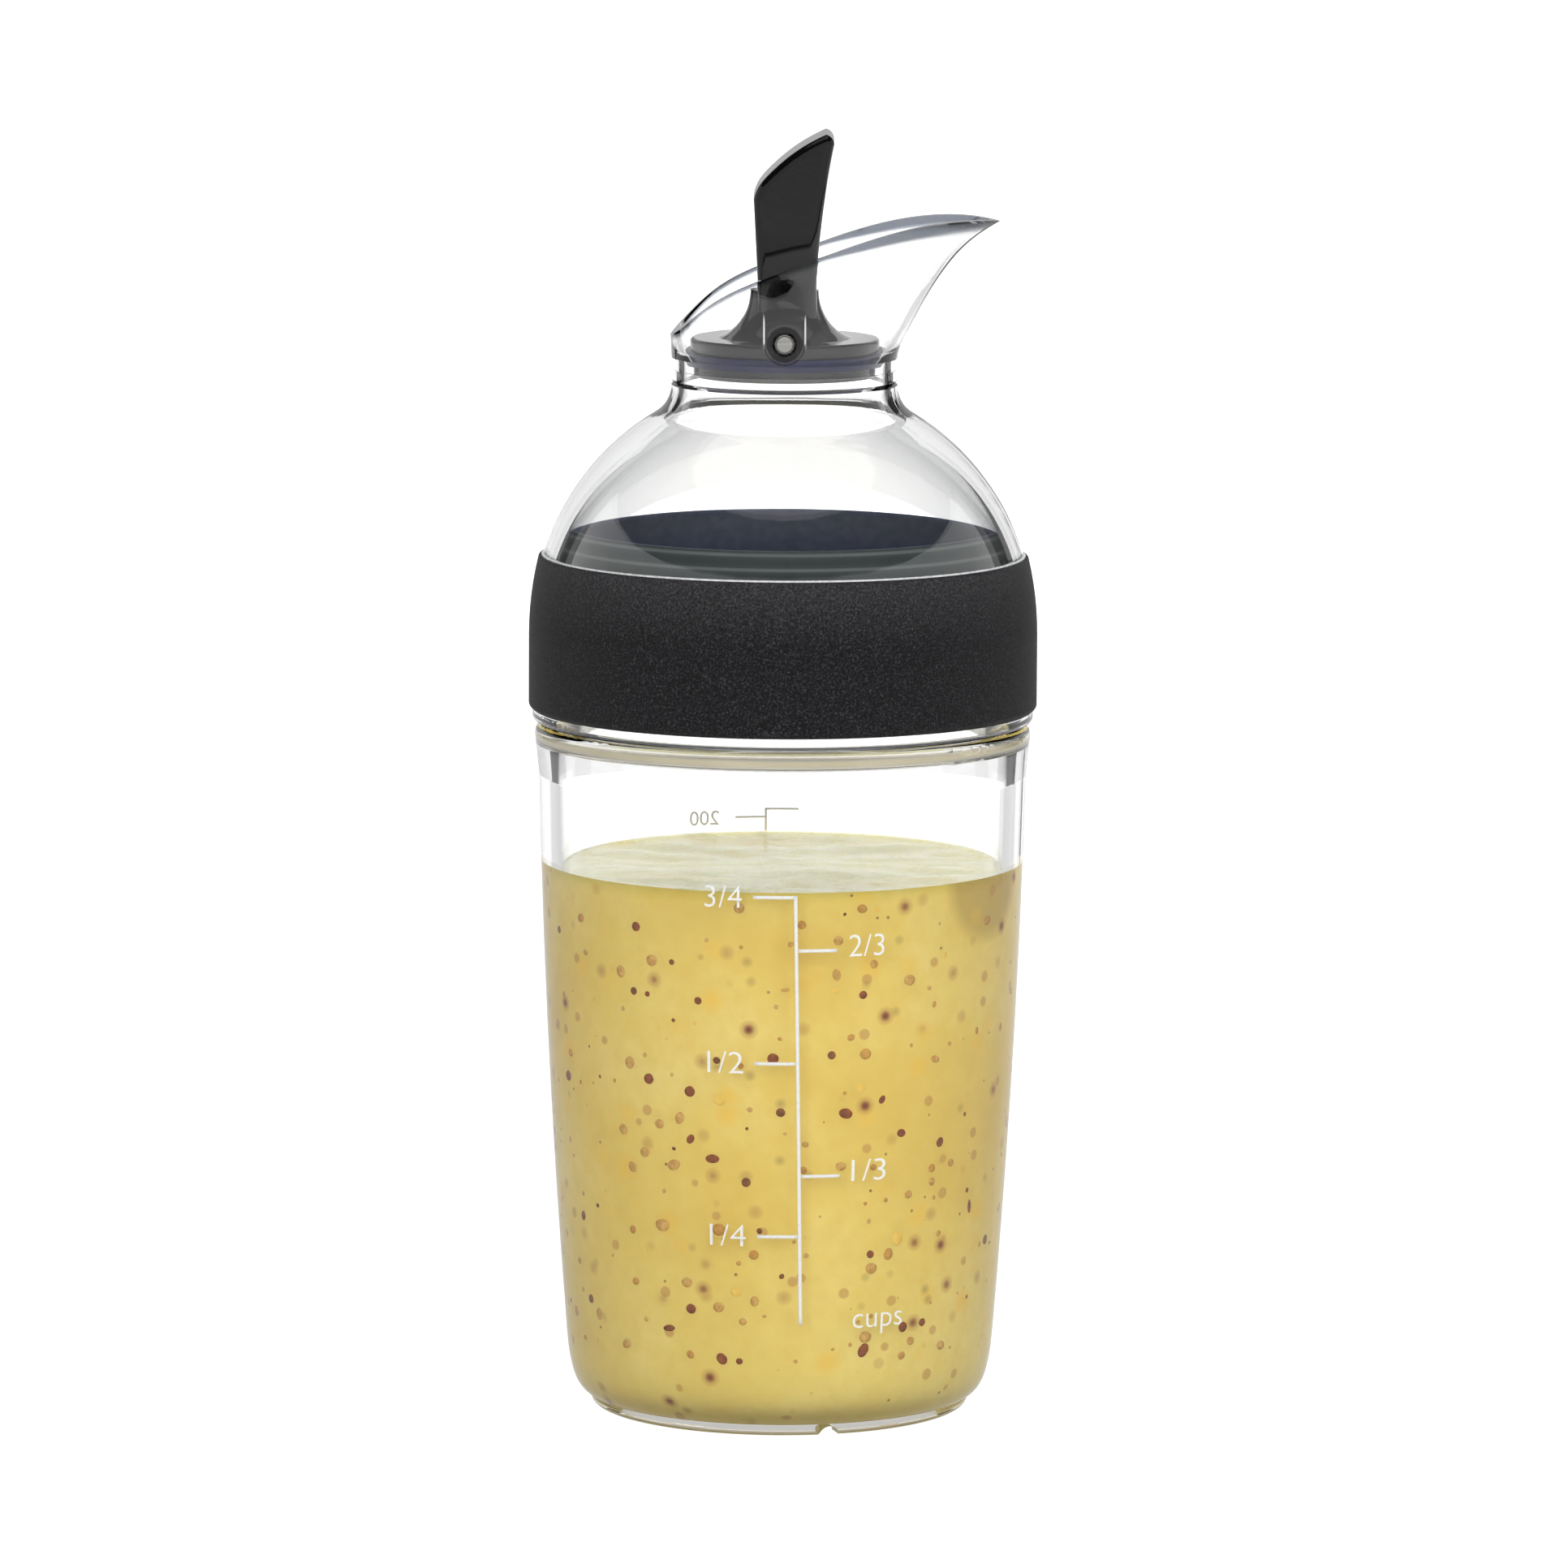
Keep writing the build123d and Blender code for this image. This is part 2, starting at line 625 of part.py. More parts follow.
with BuildPart() as lever:
    with BuildSketch(Plane.XZ) as bell_section:
        with BuildLine():
            bell = Spline(
                (bell_root_radius, pin_z - disc_top_drop),
                (bell_mid_radius, pin_z + bell_mid_rise),
                (stem_radius, pin_z + stem_rise),
                tangents=((-1, 0.35), (0, 1)),
            )
            Polyline(
                bell @ 0,
                (disc_radius, pin_z - disc_top_drop),
                (disc_radius, seal_top_z),
                (0, seal_top_z),
                (0, pin_z + stem_rise),
                bell @ 1,
            )
        make_face()
        fillet(nearest(bell_section.vertices(), disc_radius, pin_z - disc_top_drop), disc_edge_radius)
    revolve(axis=Axis.Z)
    with BuildSketch(Plane.XZ):
        with Locations((0, pin_z)):
            Circle(hub_radius)
        with Locations((0, pin_z - (disc_top_drop + seal_top_drop) / 2)):
            hub_box = (2 * hub_radius + overrun, 2 * hub_radius + overrun)
            Rectangle(*hub_box, align=(Align.CENTER, Align.MIN), mode=Mode.INTERSECT)
    extrude(amount=hub_half_length, both=True)
    add(paddle.part)
    with Locations(Location((0, 0, pin_z), (90, 0, 0))):
        Cylinder(radius=pin_radius + pin_play, height=2 * (hub_half_length + overrun), mode=Mode.SUBTRACT)
lever.part.label = "lever"

finished = [
    cup, dressing, lid_gasket, inner_ring, dome, grip_band,
    spout, pivot_pin, stopper_seal, seal_retainer, lever,
]
for piece in finished:
    export_step(piece.part, f"parts/{piece.part.label}.step")
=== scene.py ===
import math
import random

import bmesh
import bpy
from mathutils import Matrix, Vector, noise


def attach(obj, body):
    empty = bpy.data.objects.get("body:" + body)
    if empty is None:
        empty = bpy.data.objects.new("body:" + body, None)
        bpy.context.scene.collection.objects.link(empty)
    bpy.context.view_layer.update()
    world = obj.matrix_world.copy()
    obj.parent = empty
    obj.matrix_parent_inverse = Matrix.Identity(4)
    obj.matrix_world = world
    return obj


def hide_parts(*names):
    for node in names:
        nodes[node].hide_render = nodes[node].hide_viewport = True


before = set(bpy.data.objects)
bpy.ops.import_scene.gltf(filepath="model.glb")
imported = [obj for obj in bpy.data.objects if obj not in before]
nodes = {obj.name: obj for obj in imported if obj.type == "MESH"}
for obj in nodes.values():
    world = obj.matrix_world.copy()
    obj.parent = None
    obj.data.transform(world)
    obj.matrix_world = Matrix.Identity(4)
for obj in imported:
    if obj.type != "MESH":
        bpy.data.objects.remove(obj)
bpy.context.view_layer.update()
scene = bpy.context.scene
scene.view_settings.view_transform = "Standard"
random.seed(11)

MM = 0.001

# The cup's wall, in millimetres: its radii at the foot, how far each widens, and how far both bow out
WALL_FOOT_Z = 9.5
WALL_RISE = 77.0
OUTSIDE_FOOT_RADIUS = 29.0
OUTSIDE_WIDENS = 4.0
INSIDE_FOOT_RADIUS = 26.6
INSIDE_WIDENS = 3.6
WALL_BOW = 2.28

# The dressing, in millimetres
FILL_Z = 74.5
WALL_OVERLAP = 0.08          # how far it reaches into the wall
WAVE_LOWEST_Z = 74.2         # its top is wavy above this height and inside this radius
WAVE_EDGE_RADIUS = 29.2
WAVE_FADE = 4
WAVE_HEIGHT = 0.45
SCATTERED_COUNT = 300
APART_DEGREES = 3.6          # two seeds are at least this far apart, round the cup or in height
APART_Z = 1.8

# The prints, in millimetres: how high each line is, and how far its lower edge is under the level it marks
PRINT_THICKNESS = 0.06
FRONT_LINE_HEIGHT = 0.46
FRONT_LINE_DROP = 0.22
FRONT_LABEL_HEIGHT = 2.95
BACK_LINE_HEIGHT = 0.26
BACK_LINE_DROP = 0.12
BACK_LABEL_HEIGHT = 2.0
BACK_DIGIT_WIDTH = 1.55
LINE_CUTS = 5

# The bead on the moulded step where the dome goes into the band, in millimetres: a painted highlight for the bright
# line of light along that step
STEP_HIGHLIGHT_RADIUS = 32.52
STEP_HIGHLIGHT_Z = 116.32
STEP_HIGHLIGHT_HALF_THICKNESS = 0.2

# Places in materials and in the studio are in metres
PIN_CENTRE = (0, 0, 0.1461)
FLOOR_RADIUS = 6.0
FLOOR_DROP = 0.0002
DARK_SECTORS = ((0.7, 0.22, 0.1), (-0.72, 0.2, 0.3))     # middle and half width in radians, level
SECTOR_SOFTNESS = 0.05
CARD_REACH = 1.15
CARD_HEIGHT = 1.2
OVERHEAD_Z = 1.25
OVERHEAD_OUTER = 2.1
OVERHEAD_INNER = 0.72
LAMP_AIM = Vector((0, 0, 0.08))
SENSOR_MM = 36
LENS_MM = 242.24
CAMERA_PLACE = (0, -1.417, 0.2798)
CAMERA_PAN = -0.00016
CAMERA_TILT = math.radians(82.17)
CAMERA_ROLL = math.radians(0.3)


def wall_radius(z, foot_radius, widens):
    """Radius at a height of a wall that widens and bows."""
    share = (z - WALL_FOOT_Z) / WALL_RISE
    return foot_radius + widens * share + WALL_BOW * share * (1 - share)


def wall_outside(z):
    """Outside radius of the cup's wall at a height, in millimetres."""
    return wall_radius(z, OUTSIDE_FOOT_RADIUS, OUTSIDE_WIDENS)


def wall_inside(z):
    """Inside radius of the cup's wall at a height, in millimetres."""
    return wall_radius(z, INSIDE_FOOT_RADIUS, INSIDE_WIDENS)


def round_the_cup(degrees, z, radius):
    """A place so many degrees round from the front, in metres."""
    turn = math.radians(degrees)
    return Vector((radius * math.sin(turn), -radius * math.cos(turn), z)) * MM


def tint(red, green, blue):
    """A colour given in display levels from 0 to 255, as a linear one."""
    def plain(level):
        level /= 255
        return level / 12.92 if level <= 0.04045 else ((level + 0.055) / 1.055) ** 2.4
    return (plain(red), plain(green), plain(blue), 1)


def new_finish(name):
    """A new material, its tree and its main shader."""
    finish = bpy.data.materials.new(name)
    finish.use_nodes = True
    tree = finish.node_tree
    return finish, tree, tree.nodes["Principled BSDF"]


def put(tree, socket, value):
    """Link a socket to another one, or set it to a plain value."""
    if isinstance(value, bpy.types.NodeSocket):
        tree.links.new(value, socket)
    else:
        socket.default_value = value


def maths(tree, operation, *values):
    """What a maths node makes of sockets or numbers."""
    node = tree.nodes.new("ShaderNodeMath")
    node.operation = operation
    for socket, value in zip(node.inputs, values):
        put(tree, socket, value)
    return node.outputs["Value"]


def vector_maths(tree, operation, *values):
    """Outputs of a vector maths node on sockets or vectors."""
    node = tree.nodes.new("ShaderNodeVectorMath")
    node.operation = operation
    for socket, value in zip(node.inputs, values):
        put(tree, socket, value)
    return node.outputs


def object_place(tree):
    """The place on a piece, in metres."""
    return tree.nodes.new("ShaderNodeTexCoord").outputs["Object"]


def grain(tree, scale, detail=2.0, rough=0.5, stretch=(1, 1, 1)):
    """Noise over a piece, stretched along its axes."""
    lay = tree.nodes.new("ShaderNodeMapping")
    lay.inputs["Scale"].default_value = stretch
    cloud = tree.nodes.new("ShaderNodeTexNoise")
    cloud.inputs["Scale"].default_value = scale
    cloud.inputs["Detail"].default_value = detail
    cloud.inputs["Roughness"].default_value = rough
    tree.links.new(object_place(tree), lay.inputs["Vector"])
    tree.links.new(lay.outputs["Vector"], cloud.inputs["Vector"])
    return cloud.outputs["Fac"]


def spots(tree, scale):
    """Cells over a piece, each with its own random colour."""
    cells = tree.nodes.new("ShaderNodeTexVoronoi")
    cells.inputs["Scale"].default_value = scale
    tree.links.new(object_place(tree), cells.inputs["Vector"])
    return cells


def ramp(tree, source, stops):
    """The colour that belongs to each level of a source."""
    scale = tree.nodes.new("ShaderNodeValToRGB")
    marks = scale.color_ramp.elements
    while len(marks) < len(stops):
        marks.new(0.5)
    for mark, (where, colour) in zip(marks, stops):
        mark.position = where
        mark.color = colour
    tree.links.new(source, scale.inputs["Fac"])
    return scale.outputs["Color"]


def span(tree, source, low, high, out_low, out_high):
    """One range of a source as another range."""
    spread = tree.nodes.new("ShaderNodeMapRange")
    spread.inputs["From Min"].default_value = low
    spread.inputs["From Max"].default_value = high
    spread.inputs["To Min"].default_value = out_low
    spread.inputs["To Max"].default_value = out_high
    tree.links.new(source, spread.inputs["Value"])
    return spread.outputs["Result"]


def blend(tree, share, under, over):
    """Two colours mixed by a share."""
    mix = tree.nodes.new("ShaderNodeMix")
    mix.data_type = "RGBA"
    for name, value in (("Factor", share), ("A", under), ("B", over)):
        put(tree, mix.inputs[name], value)
    return mix.outputs["Result"]


def times(tree, first, second):
    """The product of two values."""
    return maths(tree, "MULTIPLY", first, second)


def either(tree, first, second):
    """The larger of two values."""
    return maths(tree, "MAXIMUM", first, second)


def raise_by(tree, shader, height, depth, strength=1.0):
    """Fine relief, as deep as given in metres."""
    bump = tree.nodes.new("ShaderNodeBump")
    bump.inputs["Strength"].default_value = strength
    bump.inputs["Distance"].default_value = depth
    tree.links.new(height, bump.inputs["Height"])
    tree.links.new(bump.outputs["Normal"], shader.inputs["Normal"])


def window(tree, source, low, high, soft):
    """1 from low to high and 0 outside, with soft ends."""
    rising = span(tree, source, low - soft, low + soft, 0.0, 1.0)
    return times(tree, rising, span(tree, source, high - soft, high + soft, 1.0, 0.0))


def apart(tree, keep, centre):
    """Distance from a centre, counted along the axes that are kept."""
    kept = vector_maths(tree, "MULTIPLY", object_place(tree), keep)["Vector"]
    return vector_maths(tree, "DISTANCE", kept, centre)["Value"]


def part_place(tree, sideless=False):
    """X, Y and Z on a piece; sideless counts each from the middle."""
    place = object_place(tree)
    if sideless:
        place = vector_maths(tree, "ABSOLUTE", place)["Vector"]
    parts = tree.nodes.new("ShaderNodeSeparateXYZ")
    tree.links.new(place, parts.inputs["Vector"])
    return parts.outputs


def rim_shade(tree):
    """Share of shade just under the spout's cut rim, which rises along a curve from back to tip."""
    at = part_place(tree)
    line = tree.nodes.new("ShaderNodeFloatCurve")
    curve = line.mapping.curves[0]
    curve.points[0].location = (0.0, 0.0)
    curve.points[1].location = (1.0, 1.0)
    for along, up in ((0.058, 0.152), (0.143, 0.355), (0.291, 0.564), (0.436, 0.722), (0.59, 0.835), (0.77, 0.935)):
        curve.points.new(along, up)
    line.mapping.update()
    tree.links.new(span(tree, at["X"], -0.0157, 0.029, 0, 1), line.inputs["Value"])
    rim_z = span(tree, line.outputs["Value"], 0, 1, 0.14579, 0.1616)
    return span(tree, maths(tree, "SUBTRACT", rim_z, at["Z"]), 0.0003, 0.0011, 1.0, 0.0)


def spout_painted_shading(tree):
    """Colour and clearness of the spout, with painted shade under its rim, in the pin's seat and along the flat's foot,
    and painted highlights on the flat's side edges.
    """
    at = part_place(tree, sideless=True)
    outer = span(tree, at["Y"], 0.0118, 0.0122, 0.0, 1.0)
    ring = apart(tree, (1, 0, 1), PIN_CENTRE)
    # painted shade: a dark ring in the pin's seat
    seat = times(tree, window(tree, ring, 0.0015, 0.0024, 0.00008), outer)
    low = span(tree, at["Z"], 0.1459, 0.1463, 1.0, 0.0)
    # painted shade: a grey line along the foot of the pin's flat
    foot = times(tree, window(tree, ring, 0.00262, 0.0028, 0.00006), times(tree, outer, low))
    colour = blend(tree, rim_shade(tree), (1, 1, 1, 1), (0.12, 0.13, 0.15, 1))
    colour = blend(tree, seat, colour, (0.14, 0.14, 0.16, 1))
    colour = blend(tree, foot, colour, (0.2, 0.2, 0.2, 1))
    # painted highlight: the flat's side edges are made lighter and less clear
    side = times(tree, window(tree, at["X"], 0.00266, 0.0028, 0.00004), window(tree, at["Z"], 0.1458, 0.1495, 0.0006))
    return colour, span(tree, times(tree, side, outer), 0, 1, 1.0, 0.35)


def cup_painted_lip_light(tree):
    """Colour and clearness of the cup: painted light makes its lip a pale cream band, half clear."""
    # painted light: a pale cream band round the lip of the clear cup
    zone = window(tree, part_place(tree)["Z"], 0.0915, 0.0927, 0.0004)
    cream = ramp(tree, grain(tree, 60, 2), ((0.35, tint(214, 203, 168)), (0.65, tint(236, 227, 198))))
    return blend(tree, zone, (1, 1, 1, 1), cream), span(tree, zone, 0, 1, 1.0, 0.42)


def clear_plastic(name, marks=None):
    """Clear plastic that lets the lamps' light through."""
    finish, tree, shader = new_finish(name)
    shader.inputs["Base Color"].default_value = (1, 1, 1, 1)
    shader.inputs["Transmission Weight"].default_value = 1.0
    if marks:
        colour, clearness = marks(tree)
        tree.links.new(colour, shader.inputs["Base Color"])
        tree.links.new(clearness, shader.inputs["Transmission Weight"])
    shader.inputs["IOR"].default_value = 1.49
    flow = grain(tree, 90, 3, 0.5, (1, 1, 0.35))
    tree.links.new(span(tree, flow, 0.35, 0.7, 0.0, 0.03), shader.inputs["Roughness"])
    raise_by(tree, shader, grain(tree, 45, 1, 0.4, (1, 1, 0.5)), 0.00003, 0.5)
    smoke = tree.nodes.new("ShaderNodeVolumeAbsorption")
    smoke.inputs["Color"].default_value = (0.62, 0.66, 0.68, 1)
    smoke.inputs["Density"].default_value = 14
    tree.links.new(smoke.outputs["Volume"], tree.nodes["Material Output"].inputs["Volume"])
    lamp_light = tree.nodes.new("ShaderNodeBsdfTransparent")
    lamp_light.inputs["Color"].default_value = (0.9, 0.9, 0.9, 1)
    path = tree.nodes.new("ShaderNodeLightPath")
    let_through = tree.nodes.new("ShaderNodeMixShader")
    tree.links.new(path.outputs["Is Shadow Ray"], let_through.inputs[0])
    tree.links.new(shader.outputs[0], let_through.inputs[1])
    tree.links.new(lamp_light.outputs[0], let_through.inputs[2])
    tree.links.new(let_through.outputs[0], tree.nodes["Material Output"].inputs["Surface"])
    return finish


def soft_grip():
    """Black grained grip, with a painted sheen that makes it paler towards its top."""
    finish, tree, shader = new_finish("band_soft_grip")
    cloud = grain(tree, 3600, 3, 0.7)
    base = ramp(tree, cloud, (
        (0.34, tint(3, 3, 4)), (0.5, tint(15, 14, 17)), (0.64, tint(52, 51, 54)), (0.8, tint(92, 90, 93)),
    ))
    height = span(tree, part_place(tree)["Z"], 0.1075, 0.1163, 0.0, 0.4)
    # painted sheen, not wear: the grain is made lighter towards the top, where light grazes the band
    worn = times(tree, height, span(tree, cloud, 0.35, 0.65, 0.2, 1.0))
    tree.links.new(blend(tree, worn, base, tint(92, 90, 92)), shader.inputs["Base Color"])
    tree.links.new(span(tree, cloud, 0.3, 0.7, 0.5, 0.7), shader.inputs["Roughness"])
    shader.inputs["Specular IOR Level"].default_value = 0.28
    raise_by(tree, shader, cloud, 0.0001, 0.8)
    return finish


def black_plastic():
    """Glossy black plastic."""
    finish, tree, shader = new_finish("lever_black_plastic")
    flow = grain(tree, 60, 2)
    tree.links.new(ramp(tree, flow, ((0.3, tint(5, 5, 6)), (0.7, tint(12, 11, 13)))), shader.inputs["Base Color"])
    tree.links.new(span(tree, grain(tree, 900, 2), 0.3, 0.7, 0.05, 0.12), shader.inputs["Roughness"])
    raise_by(tree, shader, grain(tree, 1800, 2), 0.00001, 0.35)
    return finish


def silicone(name, dark, light, roughness):
    """Matt silicone."""
    finish, tree, shader = new_finish(name)
    cloud = grain(tree, 700, 3)
    tree.links.new(ramp(tree, cloud, ((0.3, dark), (0.7, light))), shader.inputs["Base Color"])
    tree.links.new(span(tree, cloud, 0.3, 0.7, roughness - 0.07, roughness + 0.07), shader.inputs["Roughness"])
    raise_by(tree, shader, grain(tree, 2600, 2), 0.00002, 0.4)
    return finish


def ring_silicone():
    """Silicone, navy where it faces inward and slate with light lines where it faces outward."""
    finish, tree, shader = new_finish("ring_navy_silicone")
    cloud = grain(tree, 700, 3)
    navy = ramp(tree, cloud, ((0.3, tint(69, 74, 91)), (0.7, tint(81, 86, 103))))
    lines = tree.nodes.new("ShaderNodeTexWave")
    lines.bands_direction = "Z"
    lines.inputs["Scale"].default_value = 170
    lines.inputs["Distortion"].default_value = 0.0
    place = tree.nodes.new("ShaderNodeTexCoord")
    tree.links.new(place.outputs["Object"], lines.inputs["Vector"])
    slate = ramp(tree, lines.outputs["Fac"], (
        (0.0, tint(60, 67, 66)), (0.82, tint(70, 77, 76)), (0.97, tint(104, 110, 109)),
    ))
    out = vector_maths(tree, "MULTIPLY", place.outputs["Object"], (1, 1, 0))["Vector"]
    facing = vector_maths(tree, "DOT_PRODUCT", out, place.outputs["Normal"])["Value"]
    outward = span(tree, facing, 0.0, 0.01, 0.0, 1.0)
    tree.links.new(blend(tree, outward, navy, slate), shader.inputs["Base Color"])
    tree.links.new(span(tree, cloud, 0.3, 0.7, 0.55, 0.7), shader.inputs["Roughness"])
    shader.inputs["Specular IOR Level"].default_value = 0.3
    raise_by(tree, shader, grain(tree, 2600, 2), 0.00002, 0.4)
    return finish


def steel():
    """Drawn steel, with painted shade round the pin's axis: a dark line and a greyer edge on its end."""
    finish, tree, shader = new_finish("pin_steel")
    shader.inputs["Metallic"].default_value = 1.0
    drawn = grain(tree, 3000, 2, 0.5, (0.05, 1, 1))
    base = ramp(tree, drawn, ((0.3, tint(196, 195, 190)), (0.7, tint(236, 234, 228))))
    ring = apart(tree, (1, 0, 1), PIN_CENTRE)
    # painted shade: a dark line and a greyer edge on the pin's end
    base = blend(tree, window(tree, ring, 0.00105, 0.0012, 0.00006), base, tint(60, 60, 58))
    base = blend(tree, span(tree, ring, 0.00125, 0.0016, 0.25, 0.7), base, tint(96, 96, 92))
    tree.links.new(base, shader.inputs["Base Color"])
    tree.links.new(span(tree, drawn, 0.3, 0.7, 0.14, 0.3), shader.inputs["Roughness"])
    raise_by(tree, shader, drawn, 0.000008, 0.4)
    return finish


def print_ink(name, colour):
    """Printed ink, a little worn."""
    finish, tree, shader = new_finish(name)
    cloud = grain(tree, 3800, 2)
    # real wear only: the ink is a little darker in places
    worn = tuple(level * 0.9 for level in colour[:3]) + (1,)
    tree.links.new(ramp(tree, cloud, ((0.3, worn), (0.55, colour))), shader.inputs["Base Color"])
    tree.links.new(span(tree, cloud, 0.3, 0.7, 0.38, 0.52), shader.inputs["Roughness"])
    raise_by(tree, shader, cloud, 0.000006, 0.4)
    return finish


def sunk(tree, base, scale, lot, chance, core, reach, strength, colour):
    """Specks that lie deeper, in some of the cells: solid in the core and fading towards the reach."""
    cells = spots(tree, scale)
    share = span(tree, cells.outputs["Distance"], core, reach, strength, 0.0)
    lots = tree.nodes.new("ShaderNodeSeparateColor")
    tree.links.new(cells.outputs["Color"], lots.inputs["Color"])
    drawn = span(tree, lots.outputs[lot], chance, chance + 0.03, 0.0, 1.0)
    return blend(tree, times(tree, share, drawn), base, colour)


def dressing_side():
    """The dressing behind the wall."""
    finish, tree, shader = new_finish("dressing_mustard")
    slow = grain(tree, 38, 4, 0.55)
    base = ramp(tree, slow, ((0.3, tint(230, 200, 94)), (0.5, tint(239, 214, 112)), (0.7, tint(246, 226, 138))))
    pale = span(tree, part_place(tree)["Z"], 0.004, 0.034, 0.4, 0.0)
    base = blend(tree, pale, base, tint(244, 228, 138))
    shadow = span(tree, apart(tree, (1, 1, 1), (0.0262, -0.0139, 0.0745)), 0.0068, 0.0092, 0.5, 0.0)
    base = blend(tree, shadow, base, tint(160, 128, 48))
    fine = grain(tree, 420, 3, 0.6)
    base = blend(tree, span(tree, fine, 0.35, 0.75, 0.0, 0.3), base, tint(226, 192, 88))
    for speck in (
        (155, "Red", 0.55, 0.1, 0.34, 0.6, tint(246, 204, 78)),
        (230, "Green", 0.62, 0.15, 0.2, 0.6, tint(196, 146, 76)),
        (262, "Red", 0.8, 0.05, 0.24, 0.5, tint(160, 130, 66)),
        (190, "Blue", 0.5, 0.06, 0.27, 0.75, tint(176, 118, 62)),
        (190, "Blue", 0.5, 0.05, 0.15, 0.95, tint(132, 62, 38)),
        (620, "Blue", 0.9, 0.08, 0.17, 0.85, tint(122, 80, 46)),
    ):
        base = sunk(tree, base, *speck)
    tree.links.new(base, shader.inputs["Base Color"])
    tree.links.new(span(tree, fine, 0.3, 0.7, 0.3, 0.45), shader.inputs["Roughness"])
    raise_by(tree, shader, fine, 0.00008, 0.5)
    shader.inputs["Subsurface Weight"].default_value = 0.35
    shader.inputs["Subsurface Radius"].default_value = (0.004, 0.0028, 0.0012)
    shader.inputs["Subsurface Scale"].default_value = 1.0
    return finish


def dressing_top():
    """The cream on its top."""
    finish, tree, shader = new_finish("dressing_cream_top")
    swirl = grain(tree, 48, 3, 0.5, (1, 2.4, 1))
    base = ramp(tree, swirl, (
        (0.3, tint(252, 229, 156)), (0.42, tint(255, 247, 190)), (0.62, tint(255, 250, 203)),
        (0.75, tint(253, 234, 168)),
    ))
    tree.links.new(base, shader.inputs["Base Color"])
    tree.links.new(span(tree, grain(tree, 300, 2), 0.3, 0.7, 0.15, 0.32), shader.inputs["Roughness"])
    shader.inputs["Specular IOR Level"].default_value = 0.2
    shader.inputs["Subsurface Weight"].default_value = 0.6
    shader.inputs["Subsurface Radius"].default_value = (0.006, 0.0048, 0.0028)
    shader.inputs["Subsurface Scale"].default_value = 1.0
    raise_by(tree, shader, grain(tree, 110, 2), 0.00025, 0.3)
    return finish


def small_skin(name, dark, light, roughness):
    """Finish of a small piece, such as a seed."""
    finish, tree, shader = new_finish(name)
    cloud = grain(tree, 1500, 3)
    tree.links.new(ramp(tree, cloud, ((0.32, dark), (0.68, light))), shader.inputs["Base Color"])
    tree.links.new(span(tree, cloud, 0.3, 0.7, roughness, roughness + 0.15), shader.inputs["Roughness"])
    raise_by(tree, shader, cloud, 0.00004, 0.4)
    return finish


CLEAR_CUP = clear_plastic("cup_clear_plastic", cup_painted_lip_light)
CLEAR_LID = clear_plastic("lid_clear_plastic")
CLEAR_SPOUT = clear_plastic("spout_clear_plastic", spout_painted_shading)
GRIP = soft_grip()
BLACK = black_plastic()
NAVY = ring_silicone()
SEAL = silicone("seal_navy_silicone", tint(8, 12, 56), tint(14, 19, 72), 0.45)
GREY = silicone("gasket_grey_silicone", tint(74, 82, 79), tint(90, 98, 94), 0.45)
STEEL = steel()
WHITE_INK = print_ink("scale_white_ink", tint(236, 236, 232))
GREY_INK = print_ink("scale_grey_ink", tint(232, 235, 236))

for node, finish in (
    ("cup", CLEAR_CUP), ("dome", CLEAR_LID), ("spout", CLEAR_SPOUT), ("grip_band", GRIP), ("inner_ring", NAVY),
    ("lid_gasket", GREY), ("lever", BLACK), ("stopper_seal", SEAL), ("seal_retainer", BLACK), ("pivot_pin", STEEL),
):
    nodes[node].data.materials.clear()
    nodes[node].data.materials.append(finish)


def piece(bm, name, finishes, body):
    """Make an object of a mesh, on a body and in a slot."""
    mesh = bpy.data.meshes.new(name)
    bm.to_mesh(mesh)
    bm.free()
    made = bpy.data.objects.new(name, mesh)
    scene.collection.objects.link(made)
    for finish in finishes:
        mesh.materials.append(finish)
    for face in mesh.polygons:
        face.use_smooth = True
    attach(made, body)
    return made


# The dressing: its section is spun round the axis, and its top is made wavy
bm = bmesh.new()
outline = [(0, 3.32), (12, 3.32), (21.6, 3.32), (22.5, 3.38), (23.24, 3.53), (24.2, 3.93), (24.98, 4.53)]
outline += [(25.68, 5.43), (26.14, 6.43), (26.42, 7.45), (26.6, 8.5)]
outline += [
    (wall_inside(z) + WALL_OVERLAP, z)
    for z in (WALL_FOOT_Z, 14, 20, 27, 34, 41, 48, 55, 62, 68, 72.5, FILL_Z + 0.1)
]
outline += [(wall_inside(FILL_Z) - 0.5, FILL_Z - 0.08)]
outline += [(r, FILL_Z - 0.2) for r in (28.4, 26.5, 24, 21, 18, 15, 12, 9, 6, 3, 0)]
corners = [bm.verts.new((r * MM, 0, z * MM)) for r, z in outline]
rims = [bm.edges.new(pair) for pair in zip(corners, corners[1:])]
bmesh.ops.spin(bm, geom=corners + rims, cent=(0, 0, 0), axis=(0, 0, 1), angle=math.tau, steps=128, use_merge=True)
bmesh.ops.remove_doubles(bm, verts=bm.verts, dist=1e-6)
bmesh.ops.recalc_face_normals(bm, faces=bm.faces)
for vert in bm.verts:
    across = math.hypot(vert.co.x, vert.co.y) / MM
    if vert.co.z > WAVE_LOWEST_Z * MM and across < WAVE_EDGE_RADIUS:
        broad = noise.noise(Vector((vert.co.x * 95, vert.co.y * 170, 3.1)))
        fine = noise.noise(Vector((vert.co.x * 260, vert.co.y * 330, 8.4)))
        vert.co.z += (broad + 0.5 * fine) * WAVE_HEIGHT * MM * min(1, (WAVE_EDGE_RADIUS - across) / WAVE_FADE)
for face in bm.faces:
    face.material_index = 1 if face.normal.z > 0.55 and face.calc_center_median().z > 0.07 else 0
dressing = piece(bm, "dressing_pour", (dressing_side(), dressing_top()), "cup")
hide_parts("dressing")

